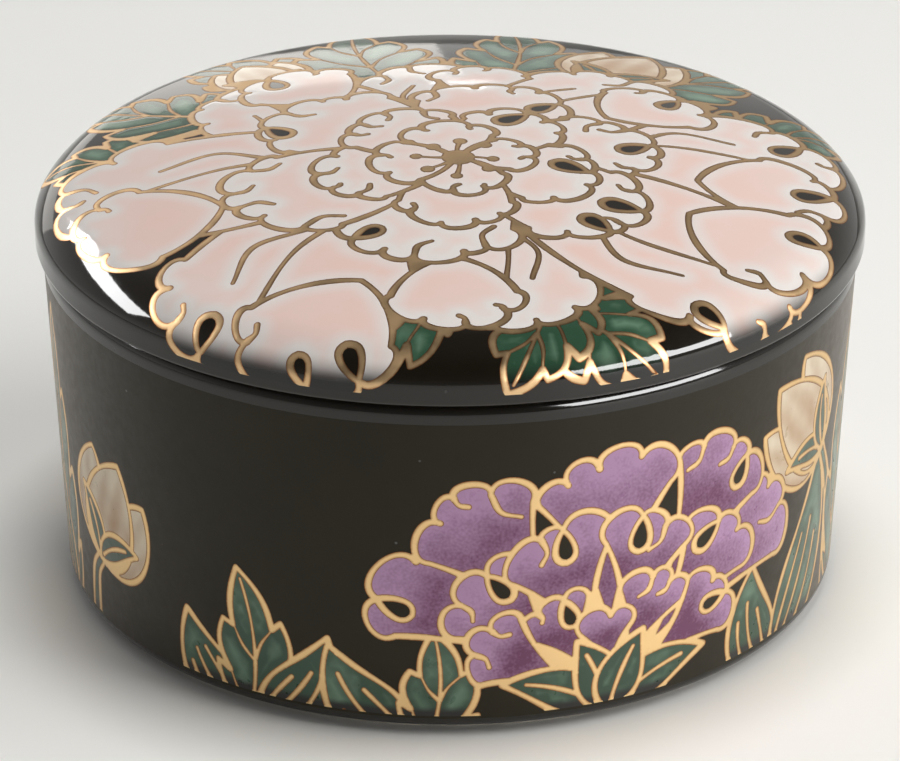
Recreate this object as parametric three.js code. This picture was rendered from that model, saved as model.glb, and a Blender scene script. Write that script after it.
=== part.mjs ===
// A round covered box in glazed porcelain: a low, slightly tapered body on a foot ring, and a domed
// lid that lifts off. Millimetres, +Z up, origin on the axis at the underside of the foot ring.
import * as THREE from "three";

// Body
const BODY_TOP_RADIUS = 50.1; // outer wall, just under the shoulder
const BODY_FOOT_RADIUS = 48.3; // outer wall, just over the foot round
const BODY_HEIGHT = 44.5; // underside to the rim that carries the lid
const BODY_WALL = 3.2;
const FLOOR_THICKNESS = 3.6;
const SHOULDER_ROUND = 1.7; // outer edge of the rim
const RIM_INNER_ROUND = 0.5;
const FOOT_ROUND = 1.4; // lower outer edge of the wall
const FLOOR_FILLET = 4.0; // inside, where the wall meets the floor

// Foot ring under the body
const FOOT_RING_HEIGHT = 1.0;
const FOOT_RING_WIDTH = 3.0;
const FOOT_RING_INSET = 2.2; // from the foot radius to the ring's outer face
const FOOT_RING_ROUND = 0.4;

// Lid
const LID_OVERHANG = 0.9; // past the body's top radius
const LID_BAND_HEIGHT = 2.4; // upright side of the lid, from the rim up
const LID_EDGE_ROUND = 0.6; // lower outer edge
const LID_CORNER_RADIUS = 2.5; // turn from the upright band to the shoulder
const LID_CORNER_SLOPE = 55; // degrees from level, where the corner meets the shoulder
const LID_SHOULDER_RADIUS = 8.2;
const LID_CROWN_SLOPE = 13; // degrees from level, where the shoulder meets the crown
const LID_WALL = 3.0;

// Locating ring under the lid, which drops inside the body's rim
const FLANGE_CLEARANCE = 0.6;
const FLANGE_WIDTH = 2.6;
const FLANGE_DEPTH = 4.0;
const FLANGE_ROUND = 0.7;
const FLANGE_FILLET = 3.0; // where the ring meets the underside of the crown

// Faceting
const SIDES = 80;
const ROUND_STEPS = 3;
const SHOULDER_STEPS = 5;
const CROWN_STEPS = 6;

const GLAZE = { color: 0x14120f, roughness: 0.18, metalness: 0 };

const radians = THREE.MathUtils.degToRad;

// Points of an arc in the (radius, height) plane. Angles are in degrees: 0 points outwards, 90 up.
function arc(centreR, centreZ, radius, from, to, steps) {
  return Array.from({ length: steps + 1 }, (_, i) => {
    const angle = radians(from + ((to - from) * i) / steps);
    return [
      centreR + radius * Math.cos(angle),
      centreZ + radius * Math.sin(angle),
    ];
  });
}

// Turns a closed (radius, height) profile into a solid of revolution about +Z.
function turned(name, profile) {
  const points = profile.map(([r, z]) => new THREE.Vector2(r, z));
  const geometry = new THREE.LatheGeometry(points, SIDES);
  geometry.rotateX(Math.PI / 2);
  const mesh = new THREE.Mesh(
    geometry,
    new THREE.MeshStandardMaterial(GLAZE),
  );
  mesh.name = name;
  return mesh;
}

// The wall's outer radius at a height: it tapers evenly from the shoulder down to the foot.
const wallFoot = FOOT_RING_HEIGHT + FOOT_ROUND;
const wallTop = BODY_HEIGHT - SHOULDER_ROUND;
const taper = (BODY_TOP_RADIUS - BODY_FOOT_RADIUS) / (wallTop - wallFoot);
const wallRadius = (z) => BODY_TOP_RADIUS - taper * (wallTop - z);

function boxBody() {
  const ringOuter = BODY_FOOT_RADIUS - FOOT_RING_INSET;
  const ringInner = ringOuter - FOOT_RING_WIDTH;
  const floorTop = FOOT_RING_HEIGHT + FLOOR_THICKNESS;
  const filletZ = floorTop + FLOOR_FILLET;
  const innerTop = BODY_TOP_RADIUS - BODY_WALL;
  const innerFoot = wallRadius(filletZ) - BODY_WALL;
  const round = FOOT_RING_ROUND;
  return turned("box_body", [
    [0, FOOT_RING_HEIGHT],
    [ringInner, FOOT_RING_HEIGHT],
    ...arc(ringInner + round, round, round, 180, 270, ROUND_STEPS - 1),
    ...arc(ringOuter - round, round, round, 270, 360, ROUND_STEPS - 1),
    [ringOuter, FOOT_RING_HEIGHT],
    ...arc(BODY_FOOT_RADIUS - FOOT_ROUND, wallFoot, FOOT_ROUND, 270, 360, ROUND_STEPS),
    ...arc(BODY_TOP_RADIUS - SHOULDER_ROUND, wallTop, SHOULDER_ROUND, 0, 90, ROUND_STEPS + 1),
    ...arc(
      innerTop + RIM_INNER_ROUND,
      BODY_HEIGHT - RIM_INNER_ROUND,
      RIM_INNER_ROUND,
      90,
      180,
      ROUND_STEPS - 1,
    ),
    ...arc(innerFoot - FLOOR_FILLET, filletZ, FLOOR_FILLET, 0, -90, ROUND_STEPS),
    [0, floorTop],
  ]);
}

function lid() {
  const radius = BODY_TOP_RADIUS + LID_OVERHANG;
  const seat = BODY_HEIGHT; // the lid's flat underside rests on the rim
  const bandTop = seat + LID_BAND_HEIGHT;

  // Outside, from the band up: corner, shoulder, crown, each tangent to the next.
  const cornerEnd = 90 - LID_CORNER_SLOPE;
  const crownEdge = 90 - LID_CROWN_SLOPE;
  const corner = arc(radius - LID_CORNER_RADIUS, bandTop, LID_CORNER_RADIUS, 0, cornerEnd, ROUND_STEPS);
  const [cornerR, cornerZ] = corner[corner.length - 1];
  const shoulderR = cornerR - LID_SHOULDER_RADIUS * Math.cos(radians(cornerEnd));
  const shoulderZ = cornerZ - LID_SHOULDER_RADIUS * Math.sin(radians(cornerEnd));
  const shoulder = arc(shoulderR, shoulderZ, LID_SHOULDER_RADIUS, cornerEnd, crownEdge, SHOULDER_STEPS);
  const [crownR, crownZ] = shoulder[shoulder.length - 1];
  const crownRadius = crownR / Math.cos(radians(crownEdge));
  const crownCentre = crownZ - crownRadius * Math.sin(radians(crownEdge));
  const crown = arc(0, crownCentre, crownRadius, crownEdge, 90, CROWN_STEPS);
  crown[crown.length - 1][0] = 0;

  // Inside: the locating ring, a fillet, and the underside of the crown.
  const flangeOuter = BODY_TOP_RADIUS - BODY_WALL - FLANGE_CLEARANCE;
  const flangeInner = flangeOuter - FLANGE_WIDTH;
  const flangeFoot = seat - FLANGE_DEPTH;
  const undersideRadius = crownRadius - LID_WALL;
  const filletR = flangeInner - FLANGE_FILLET;
  const reach = undersideRadius - FLANGE_FILLET;
  const filletZ = crownCentre + Math.sqrt(reach * reach - filletR * filletR);
  const filletEnd = THREE.MathUtils.radToDeg(Math.acos(filletR / reach));
  const underside = arc(0, crownCentre, undersideRadius, 90, filletEnd, CROWN_STEPS - 1);
  underside[0][0] = 0;

  return turned("lid", [
    ...underside,
    ...arc(filletR, filletZ, FLANGE_FILLET, filletEnd, 0, ROUND_STEPS).slice(1),
    ...arc(flangeInner + FLANGE_ROUND, flangeFoot + FLANGE_ROUND, FLANGE_ROUND, 180, 270, ROUND_STEPS - 1),
    ...arc(flangeOuter - FLANGE_ROUND, flangeFoot + FLANGE_ROUND, FLANGE_ROUND, 270, 360, ROUND_STEPS - 1),
    [flangeOuter, seat],
    ...arc(radius - LID_EDGE_ROUND, seat + LID_EDGE_ROUND, LID_EDGE_ROUND, 270, 360, ROUND_STEPS - 1),
    ...corner,
    ...shoulder.slice(1),
    ...crown.slice(1),
  ]);
}

const box = new THREE.Group();
box.name = "covered_box";
box.add(boxBody(), lid());

export default box;
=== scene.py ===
"""A round covered box of glazed porcelain, painted with flowers in the cloisonne manner.

The two pieces, body and lid, are turned shapes. Their outer skins carry a picture of enamel
colours and gilt lines, which is drawn flat in millimetres, cut into triangles along its lines
and laid on the dome and round the wall.
"""

import math
import random
from dataclasses import dataclass

import bmesh
import bpy
import numpy as np
from bpy.props import FloatProperty, FloatVectorProperty, IntProperty, PointerProperty
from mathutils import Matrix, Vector
from mathutils.geometry import delaunay_2d_cdt
from mathutils.kdtree import KDTree


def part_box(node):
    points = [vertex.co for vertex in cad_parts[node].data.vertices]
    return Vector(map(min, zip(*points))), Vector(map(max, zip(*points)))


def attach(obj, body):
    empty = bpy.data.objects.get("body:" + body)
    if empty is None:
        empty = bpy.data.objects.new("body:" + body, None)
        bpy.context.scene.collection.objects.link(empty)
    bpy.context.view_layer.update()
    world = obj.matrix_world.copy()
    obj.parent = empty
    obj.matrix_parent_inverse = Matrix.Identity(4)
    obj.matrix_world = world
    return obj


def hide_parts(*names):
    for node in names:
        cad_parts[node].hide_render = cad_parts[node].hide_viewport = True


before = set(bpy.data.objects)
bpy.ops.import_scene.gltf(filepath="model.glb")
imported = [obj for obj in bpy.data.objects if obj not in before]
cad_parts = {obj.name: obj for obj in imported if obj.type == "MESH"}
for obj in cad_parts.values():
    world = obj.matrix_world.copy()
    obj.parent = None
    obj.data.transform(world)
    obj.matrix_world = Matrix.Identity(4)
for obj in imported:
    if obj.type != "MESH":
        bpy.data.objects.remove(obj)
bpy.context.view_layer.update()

bl_info = {
    "name": "Covered porcelain box",
    "version": (1, 0, 0),
    "blender": (4, 5, 0),
    "location": "3D View > Sidebar > Porcelain box",
    "description": "A round covered box with painted flowers, its stage and its camera",
    "category": "Add Mesh",
}

MM = 0.001
BODY_LOW, BODY_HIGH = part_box("box_body")
LID_LOW, LID_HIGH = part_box("lid")


def linear(hex_colour):
    """An sRGB colour such as "#8f6f45" as linear red, green and blue."""
    channels = [int(hex_colour[i : i + 2], 16) / 255 for i in (1, 3, 5)]
    return tuple(c / 12.92 if c <= 0.04045 else ((c + 0.055) / 1.055) ** 2.4 for c in channels)


def length(name, description, default):
    return FloatProperty(name=name, description=description, default=default, min=0, unit="LENGTH")


def angle(name, description, default):
    return FloatProperty(
        name=name, description=description, default=math.radians(default), subtype="ANGLE"
    )


def colour(name, description, default):
    return FloatVectorProperty(
        name=name,
        description=description,
        default=linear(default),
        min=0,
        max=1,
        subtype="COLOR",
    )


class BoxSizes(bpy.types.PropertyGroup):
    """Sizes of the two turned pieces. The outer ones come from the frame."""

    body_radius: length("Body radius", "Outer wall under the shoulder", BODY_HIGH.x)
    body_height: length("Body height", "Underside to the rim", BODY_HIGH.z)
    foot_radius: length("Foot radius", "Outer wall over the foot round", 48.3 * MM)
    wall: length("Wall", "Thickness of the body's wall", 3.2 * MM)
    floor: length("Floor", "Thickness of the body's floor", 3.6 * MM)
    shoulder_round: length("Shoulder round", "Outer edge of the rim", 1.7 * MM)
    rim_inner_round: length("Inner rim round", "Inner edge of the rim", 0.5 * MM)
    foot_round: length("Foot round", "Lower edge of the wall", 1.4 * MM)
    floor_fillet: length("Floor fillet", "Inside, from wall to floor", 4 * MM)
    ring_height: length("Foot ring height", "Ring the body stands on", 1 * MM)
    ring_width: length("Foot ring width", "Ring the body stands on", 3 * MM)
    ring_inset: length("Foot ring inset", "From the foot radius to the ring", 2.2 * MM)
    ring_round: length("Foot ring round", "Lower edges of the ring", 0.4 * MM)
    lid_radius: length("Lid radius", "Upright side of the lid", LID_HIGH.x)
    lid_band: length("Lid side", "Height of the lid's upright side", 2.4 * MM)
    picture_skirt: length("Picture on the side", "How far the lid's picture runs down", 1.25 * MM)
    lid_edge: length("Lid edge round", "Lower outer edge of the lid", 0.6 * MM)
    lid_corner: length("Lid corner", "From the side to the shoulder", 2.5 * MM)
    lid_shoulder: length("Lid shoulder", "Radius of the lid's shoulder", 8.2 * MM)
    corner_slope: angle("Corner slope", "Where corner and shoulder meet", 55)
    crown_slope: angle("Crown slope", "Where shoulder and crown meet", 13)
    lid_wall: length("Lid wall", "Thickness of the lid's crown", 3 * MM)
    flange_gap: length("Flange gap", "From the locating ring to the wall", 0.6 * MM)
    flange_width: length("Flange width", "Locating ring under the lid", 2.6 * MM)
    flange_depth: length("Flange depth", "Below the rim", BODY_HIGH.z - LID_LOW.z)
    flange_round: length("Flange round", "Lower edges of the locating ring", 0.7 * MM)
    flange_fillet: length("Flange fillet", "Where ring and crown meet", 3 * MM)
    satin_top: length("Satin top", "Where the satin wall ends under the shoulder", 41.9 * MM)
    sides: IntProperty(name="Sides", description="Facets round a piece", default=256, min=64)


class PaintColours(bpy.types.PropertyGroup):
    """Colours of the glazes, the enamels and the gilt."""

    gloss_black: colour("Gloss black", "Glaze of the lid and the edges", "#120d05")
    satin_black: colour("Satin black", "Glaze of the wall", "#1c1703")
    bare_clay: colour("Bare porcelain", "Unglazed foot ring", "#ddd8cd")
    pink_pale: colour("Pale pink", "Petals by their edges", "#e3ddd9")
    pink_deep: colour("Deep pink", "Petals at their middle", "#e8c9bf")
    plum_pale: colour("Lilac", "Purple petals by their edges", "#b98fb8")
    plum_deep: colour("Plum", "Purple petals at their middle", "#6d325c")
    green_pale: colour("Pale green", "Leaves between their veins", "#76977f")
    green_deep: colour("Deep green", "Leaves by their veins", "#2e4d39")
    cream_pale: colour("Pale cream", "Buds and stems, light streaks", "#e2d2b8")
    cream_deep: colour("Deep cream", "Buds and stems, shaded streaks", "#b38a60")
    gilt_lid: colour("Lid gilt", "Fired gold of the lines, brownish", "#dfbd90")
    gilt_wall: colour("Wall gilt", "Fired gold of the lines, pale", "#e6c48e")
    # The gilt's edge colour is partly the lines' own brown border, partly painted shade along their
    # sloping edges
    gilt_edge_and_shade: colour("Gilt edge", "Thin brown edge of the lines", "#84502c")
    floor: colour("Floor", "Pale seamless ground", "#f7f7f4")


class StageSettings(bpy.types.PropertyGroup):
    """Where the camera stands and what it looks at."""

    distance: length("Distance", "Camera to the point it looks at", 578.8 * MM)
    elevation: angle("Elevation", "Camera above the horizon", 25.9)
    target_height: length("Target height", "Point the camera looks at, on the axis", 23.3 * MM)
    lens: FloatProperty(
        name="Lens", description="Focal length for a 36 mm wide frame", default=184.7, min=1
    )


# Turned profiles

# A station is (radius, height, lean): lean is the angle of the surface's outward normal in
# degrees, 0 pointing away from the axis and 90 pointing up. All lengths are millimetres.

ARC_STEP = 0.5
INNER_ARC_STEP = 1.2
CEILING_STEP = 4


def arc(centre_r, centre_z, radius, start, end, hollow=False, step=ARC_STEP):
    """Stations along an arc. A hollow arc, such as a fillet, has its centre outside the solid."""
    count = max(3, math.ceil(abs(math.radians(end - start)) * radius / step))
    turns = [start + (end - start) * i / count for i in range(count + 1)]
    return [
        (
            centre_r + radius * math.cos(math.radians(a)),
            centre_z + radius * math.sin(math.radians(a)),
            a + 180 if hollow else a,
        )
        for a in turns
    ]


class Dome:
    """The lid's outside, from its centre down to where the picture ends on its upright side."""

    def __init__(self, size):
        radius, corner = size.lid_radius / MM, size.lid_corner / MM
        shoulder = size.lid_shoulder / MM
        self.band_top = (size.body_height + size.lid_band) / MM
        corner_r = radius - corner
        steep, mild = size.corner_slope, size.crown_slope
        shoulder_r = corner_r + (corner - shoulder) * math.sin(steep)
        shoulder_z = self.band_top + (corner - shoulder) * math.cos(steep)
        crown_r = shoulder_r + shoulder * math.sin(mild)
        self.crown_radius = crown_r / math.sin(mild)
        rise = (shoulder - self.crown_radius) * math.cos(mild)
        self.crown_centre = shoulder_z + rise
        self.radius = radius
        # (centre radius, centre height, arc radius, slope where it starts, slope where it ends)
        self.arcs = [
            (0, self.crown_centre, self.crown_radius, 0, mild),
            (shoulder_r, shoulder_z, shoulder, mild, steep),
            (corner_r, self.band_top, corner, steep, math.pi / 2),
        ]
        self.skirt = size.picture_skirt / MM
        self.bends = list(np.cumsum([r * (b - a) for _, _, r, a, b in self.arcs]))
        self.reach = self.bends[-1] + self.skirt

    def at(self, way):
        """Radius, height and slope at distances along the surface from the centre."""
        radius, height, slope = (np.zeros_like(way) for _ in range(3))
        begin = 0.0
        for centre_r, centre_z, r, first, last in self.arcs:
            end = begin + r * (last - first)
            here = way >= begin - 1e-9
            turn = np.minimum(first + (way[here] - begin) / r, last)
            radius[here] = centre_r + r * np.sin(turn)
            height[here] = centre_z + r * np.cos(turn)
            slope[here] = turn
            begin = end
        return radius, height - np.maximum(way - begin, 0), slope


# Drawing

# The picture is drawn on the unrolled surface. A place is a complex number in millimetres:
# to the right, and up (on the wall) or to the back (on the lid) times 1j.

CURVE_STEP = 0.45
DOT_SIDES = 12
# A gilt line's edge is rounded where its way turns by more than this, in such steps (radians)
SHARP_TURN = 0.25
TURN_STEP = 0.4
# A brush line swells and thins by this share of its width, about once in so many millimetres
SWELL = 0.13
SWELL_LENGTH = 11


def circle(radius, count):
    return radius * np.exp(2j * math.pi * np.arange(count) / count)


def heading(degrees):
    return complex(math.cos(math.radians(degrees)), math.sin(math.radians(degrees)))


def bezier(a, b, c, d):
    """Points of a cubic curve, about CURVE_STEP apart, without the last one."""
    span = (abs(b - a) + abs(c - b) + abs(d - c) + abs(d - a)) / 2
    t = np.arange(max(3, math.ceil(span / CURVE_STEP)))
    t = t / len(t)
    return a * (1 - t) ** 3 + 3 * b * t * (1 - t) ** 2 + 3 * c * t**2 * (1 - t) + d * t**3


def sweep(*points):
    """A smooth open curve through the points."""
    p = [2 * points[0] - points[1], *points, 2 * points[-1] - points[-2]]
    parts = [
        bezier(p[i], p[i] + (p[i + 1] - p[i - 1]) / 6, p[i + 1] - (p[i + 2] - p[i]) / 6, p[i + 1])
        for i in range(1, len(p) - 2)
    ]
    return np.concatenate([*parts, [points[-1]]])


@dataclass
class Mark:
    """One painted shape or one gilt stroke."""

    path: np.ndarray
    half: np.ndarray
    closed: bool
    enamel: str
    root: complex
    tip: complex
    tone: float

    def __post_init__(self):
        margin = (1 + 1j) * (self.half.max() + 0.05)
        self.low = complex(self.path.real.min(), self.path.imag.min()) - margin
        self.high = complex(self.path.real.max(), self.path.imag.max()) + margin

    def near(self, points):
        """Indices of the points in the mark's box."""
        low, high = self.low, self.high
        inside = (points.real > low.real) & (points.real < high.real)
        inside &= (points.imag > low.imag) & (points.imag < high.imag)
        return np.flatnonzero(inside)

    def gilt_gap(self, points):
        """Distance from each point to the mark's gilt line, negative on the line."""
        ends = np.roll(self.path, -1) if self.closed else self.path[1:]
        starts = self.path if self.closed else self.path[:-1]
        half_a = self.half if self.closed else self.half[:-1]
        half_b = np.roll(self.half, -1) if self.closed else self.half[1:]
        along = ends - starts
        off = points[:, None] - starts[None, :]
        share = (off * along.conj()).real / np.maximum(np.abs(along) ** 2, 1e-12)
        share = np.clip(share, 0, 1)
        gap = np.abs(off - share * along) - (half_a + share * (half_b - half_a))
        return gap.min(axis=1)

    def holds(self, points):
        """Which points lie inside the outline."""
        a = self.path[None, :]
        b = np.roll(self.path, -1)[None, :]
        p = points[:, None]
        crosses = (a.imag > p.imag) != (b.imag > p.imag)
        rise = np.where(a.imag == b.imag, 1e-12, b.imag - a.imag)
        where = a.real + (p.imag - a.imag) * (b.real - a.real) / rise
        return (crosses & (p.real < where)).sum(axis=1) % 2 == 1

    def chains(self):
        """The lines to cut the surface along: the middle and both edges of the gilt."""
        left = offset(self.path, self.half, 1, self.closed)
        right = offset(self.path, self.half, -1, self.closed)
        if self.closed:
            return [(self.path, True), (left, True), (right, True)]
        start = self.path[0] - self.path[1]
        end = self.path[-1] - self.path[-2]
        outline = [
            left,
            cap(self.path[-1], end, self.half[-1]),
            right[::-1],
            cap(self.path[0], start, self.half[0]),
        ]
        return [(self.path, False), (np.concatenate(outline), True)]


def distinct(path, closed):
    """The path without points that repeat the one before."""
    before = np.roll(path, 1)
    if not closed:
        before[0] = path[0] + 1
    return path[np.abs(path - before) > 1e-4]


def cap(centre, direction, radius):
    """Points of a stroke's round end, from its left to its right."""
    out = direction / abs(direction) * radius
    return centre + out * np.exp(1j * np.radians([60, 20, -20, -60]))


def offset(path, half, side, closed):
    """A line beside the path, half a width to its left (side 1) or right (side -1)."""
    step = np.diff(np.append(path, path[0])) if closed else np.diff(path)
    normal = 1j * step / np.maximum(np.abs(step), 1e-9)
    before = np.roll(normal, 1) if closed else np.append(normal[:1], normal)
    after = normal if closed else np.append(normal, normal[-1:])
    points = []
    for place, reach, first, last in zip(path, half, before, after):
        turn = np.angle(last / first)
        if abs(turn) < SHARP_TURN:
            shares = [0.5]
        else:
            shares = np.linspace(0, 1, 2 + int(abs(turn) / TURN_STEP))
        points += [place + side * reach * first * np.exp(1j * turn * s) for s in shares]
    return np.array(points)


class Rib:
    """A bent line from a leaf's root to its tip."""

    def __init__(self, root, tip, bend):
        middle = (root + tip) / 2 + (tip - root) * 1j * bend
        curve = bezier(root, (root + 2 * middle) / 3, (tip + 2 * middle) / 3, tip)
        self.line = np.append(curve, tip)
        across = 1j * np.gradient(self.line)
        self.across = across / np.abs(across)

    def at(self, share, aside=0.0):
        """The place at a share of the way, and so many millimetres to the left."""
        steps = np.arange(len(self.line))
        where = np.asarray(share) * steps[-1]
        return np.interp(where, steps, self.line) + aside * np.interp(where, steps, self.across)


# A drop of bare glaze: its length in half widths of its line, and the least reach of its petal
DROP_LENGTH = 9.2
DROP_PETAL = 14
# A tick's length: a share of its petal's reach, up to so many millimetres
TICK_SHARE = 0.12
TICK_MOST = 3.2
# A large petal's folds: their way aside, and where they start and end, as shares
FOLDS = ((-0.1, 0.3, 0.82), (-0.5, 0.5, 0.76))
# The blossom's middle, in millimetres
STAMEN_HALF = 0.33
STAMEN_DROP = 0.85
MIDDLE_RADIUS = 2.1
# Half widths at a tooth's point, behind it and at its middle, as shares of the leaf's
TOOTH_POINT = 1.1
TOOTH_BACK = 0.74
TOOTH_SWELL = 1.25


class Picture:
    """Marks in painting order, the last one on top, inside a border."""

    def __init__(self, seed, room, line, eyes, ticks):
        self.marks = []
        self.line = line  # half width of an outline
        self.eyes = eyes  # share of a petal's notches that hold a drop of bare glaze
        self.ticks = ticks  # share of them that run in as a short line
        self.random = random.Random(seed)
        self.room = room  # distance from a point to the border, negative outside it

    def vary(self, value, share):
        return value * (1 + self.random.uniform(-share, share))

    def widths(self, path, half, taper=1.0):
        """Half widths that swell and thin a little, as a brush line's do, and taper to the end."""
        phase = self.random.uniform(0, 2 * math.pi)
        way = np.concatenate([[0], np.cumsum(np.abs(np.diff(path)))])
        waves = max(1, round(way[-1] / SWELL_LENGTH))
        share = way / max(way[-1], 1e-9)
        swell = 1 + SWELL * np.sin(phase + 2 * math.pi * waves * share)
        return half * swell * (1 + (taper - 1) * share)

    def shape(self, outline, enamel, root, tip, tone=None):
        if tone is None:
            tone = self.random.uniform(-1, 1)
        outline = distinct(outline, True)
        widths = self.widths(outline, self.line)
        self.marks.append(Mark(outline, widths, True, enamel, root, tip, tone))

    def stroke(self, path, half, taper):
        path = distinct(path, False)
        widths = self.widths(path, half, taper)
        self.marks.append(Mark(path, widths, False, "", path[0], path[-1], 0.0))

    def dot(self, centre, radius):
        """A solid gilt spot."""
        ring = centre + circle(radius / 2, DOT_SIDES)
        half = np.full(DOT_SIDES, radius / 2)
        self.marks.append(Mark(ring, half, True, "gilt", centre, centre + 1, 0.0))

    # Flowers

    def petal(
        self, enamel, heart, aim, reach, spread, lobes, cup=0.22, bulge=0.5, bow=0.15, tone=None
    ):
        """A petal from the heart: it widens to a scalloped edge. Angles are degrees."""
        root = heart + reach * 0.05 * heading(aim)
        shares = [-1 + 2 * k / lobes for k in range(lobes + 1)]
        shares = [s if abs(s) == 1 else s + self.random.uniform(-0.5, 0.5) / lobes for s in shares]
        notches = [
            heart + self.vary(reach, 0.03) * (1 - cup * s * s) * heading(aim - spread * s)
            for s in shares
        ]
        outline = [side(root, notches[0], bow)]
        for a, b in zip(notches, notches[1:]):
            outline.append(lobe(a, b, self.vary(bulge, 0.25)))
        outline.append(side(notches[-1], root, bow))
        self.shape(np.concatenate(outline), enamel, root, heart + reach * heading(aim), tone=tone)
        for notch in notches[1:-1]:
            inward = (root - notch) / abs(root - notch)
            kind = self.random.random()
            if kind < self.eyes and reach > DROP_PETAL:
                turn = heading(self.random.uniform(-25, 25))
                self.drop(notch, inward * turn, self.vary(self.line * DROP_LENGTH, 0.15))
            elif kind < self.eyes + self.ticks:
                size = min(reach * TICK_SHARE, TICK_MOST)
                self.tick(notch, inward, self.vary(size, 0.5))

    def tick(self, notch, inward, size):
        """A short line that curls in from a notch."""
        bend = inward * 1j * size * self.random.choice((-0.4, 0.4))
        path = sweep(notch, notch + inward * size * 0.6, notch + inward * size + bend)
        self.stroke(path, self.line, 0.8)

    def drop(self, notch, inward, size):
        """A teardrop of bare black glaze that hangs in from a notch."""
        end = notch + inward * size
        across = inward * 1j * size
        left = bezier(notch, notch + across * 0.1, end + across * 0.6 - inward * size * 0.1, end)
        right = bezier(end, end - across * 0.6 - inward * size * 0.1, notch - across * 0.1, notch)
        self.shape(np.concatenate([left, right]), "ground", notch, end)

    def large_petal(self, enamel, heart, aim, reach, spread, lobes):
        """A petal with fold lines down it and one side curled over."""
        self.petal(enamel, heart, aim, reach, spread, lobes)
        hand = self.random.choice((-1, 1))
        for turn, first, last in FOLDS:
            points = [
                heart + reach * share * heading(aim + hand * spread * (turn + sway))
                for share, sway in ((first, 0), ((first + last) / 2, -0.18), (last, 0.12))
            ]
            self.stroke(sweep(*points), self.line, 0.7)
        base = heart + reach * 0.6 * heading(aim + hand * spread * 0.7)
        lean = aim + hand * spread * 0.35
        self.petal(enamel, base, lean, reach * 0.37, 42, 4, cup=0.25, tone=-1)

    def ring(self, enamel, heart, count, reach, spread, lobes, turn):
        """Petals all round, in a random painting order."""
        order = list(range(count))
        self.random.shuffle(order)
        for k in order:
            aim = turn + 360 * k / count + self.random.uniform(-4, 4)
            self.petal(enamel, heart, aim, self.vary(reach, 0.08), self.vary(spread, 0.1), lobes)

    def stamens(self, heart, count, reach):
        """A gilt middle with stamens that end in drops."""
        for k in range(count):
            aim = heading(360.0 * k / count + self.random.uniform(-6, 6))
            end = heart + aim * self.vary(reach, 0.15)
            self.stroke(sweep(heart, (heart + end) / 2 + aim * 0.25j, end), STAMEN_HALF, 1.0)
            self.dot(end, self.vary(STAMEN_DROP, 0.15))
        self.dot(heart, MIDDLE_RADIUS)

    # Leaves, buds and stems

    def leaf(self, enamel, root, tip, width, bend=0.12, teeth=5):
        """A toothed leaf on a bent midrib, with a vein to each tooth."""
        rib = Rib(root, tip, bend)

        def edge(share):
            return width / 2 * math.sin(math.pi * min(share, 0.98) ** 0.72) ** 0.85

        sides, veins = [], []
        for hand in (1, -1):
            parts, last = [], rib.at(0)
            for k in range(teeth):
                begin, end = k / teeth, (k + 1) / teeth
                peak = rib.at(end, hand * edge(end) * TOOTH_POINT)
                valley = rib.at(end - 0.04, hand * edge(end) * TOOTH_BACK)
                if k == teeth - 1:
                    peak = valley = tip
                mid = (begin + end) / 2
                swell = rib.at(mid, hand * edge(mid) * TOOTH_SWELL)
                parts.append(bezier(last, (last + swell) / 2, swell, peak))
                if k < teeth - 1:
                    parts.append(bezier(peak, peak * 0.6 + valley * 0.4, valley, valley))
                    veins.append((rib.at(end - 0.26), rib.at(end - 0.05, hand * edge(end) * 0.7)))
                last = valley
            sides.append(np.append(np.concatenate(parts), tip))
        self.shape(np.concatenate([sides[0][:-1], sides[1][:0:-1]]), enamel, root, tip)
        for a, b in veins:
            self.stroke(sweep(a, (a + b) / 2 + (b - a) * 0.07j, b), self.line * 0.7, 0.6)
        self.stroke(rib.at(np.linspace(0, 0.93, 40)), self.line * 0.85, 0.6)

    def blade(self, enamel, root, tip, width, bend=0.2, lines=(0.0,)):
        """A smooth long leaf. Its lines run beside the midrib, at these shares of its half width."""
        rib = Rib(root, tip, bend)
        shares = np.linspace(0, 1, max(12, int(abs(tip - root) / CURVE_STEP)))
        half = width / 2 * np.sin(math.pi * shares**0.75) ** 0.9
        left, right = rib.at(shares, half), rib.at(shares, -half)
        self.shape(np.concatenate([left[:-1], right[:0:-1]]), enamel, root, tip)
        for aside in lines:
            last = 0.84 - 0.3 * abs(aside) - self.random.uniform(0, 0.12)
            run = slice(2, int(len(shares) * last))
            self.stroke(rib.at(shares[run], half[run] * aside), self.line * 0.85, 0.9)

    def stem(self, enamel, width, *points):
        """A painted stem with a gilt line along both sides."""
        path = sweep(*points)
        half = np.linspace(width / 2, width / 2 * 0.7, len(path))
        left = offset(path, half, 1, False)
        right = offset(path, half, -1, False)
        self.shape(np.concatenate([left, right[::-1]]), enamel, path[0], path[-1])

    def bud(self, enamel, cup, root, tip, width):
        """A closed bud: two side petals whose lips lean out, one in front, in a cup of sepals."""
        along = tip - root
        across = along / abs(along) * 0.5j * width
        for hand in (1, -1):
            lip = root + along * 0.88 + across * 0.85 * hand
            out = bezier(root, root + across * 1.5 * hand, root + along * 0.6 + across * 1.5 * hand, lip)
            back = bezier(lip, root + along * 0.8 + across * 0.3 * hand, root + along * 0.4, root)
            self.shape(np.concatenate([out, back]), enamel, root, lip)
        left = bezier(root, root + across * 1.2, root + along * 0.7 + across, tip)
        right = bezier(tip, root + along * 0.7 - across, root - across * 1.2, root)
        self.shape(np.concatenate([left, right]), enamel, root, tip)
        for hand in (1, -1):
            self.blade(cup, root, root + along * 0.42 + across * hand, width * 0.28, -0.22 * hand)


def side(a, b, bow):
    """A petal's side between its root and its first or last notch, bowed to the left."""
    across = (b - a) * 1j * bow
    return bezier(a, a + (b - a) * 0.3 + across, a + (b - a) * 0.7 + across, b)


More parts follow.
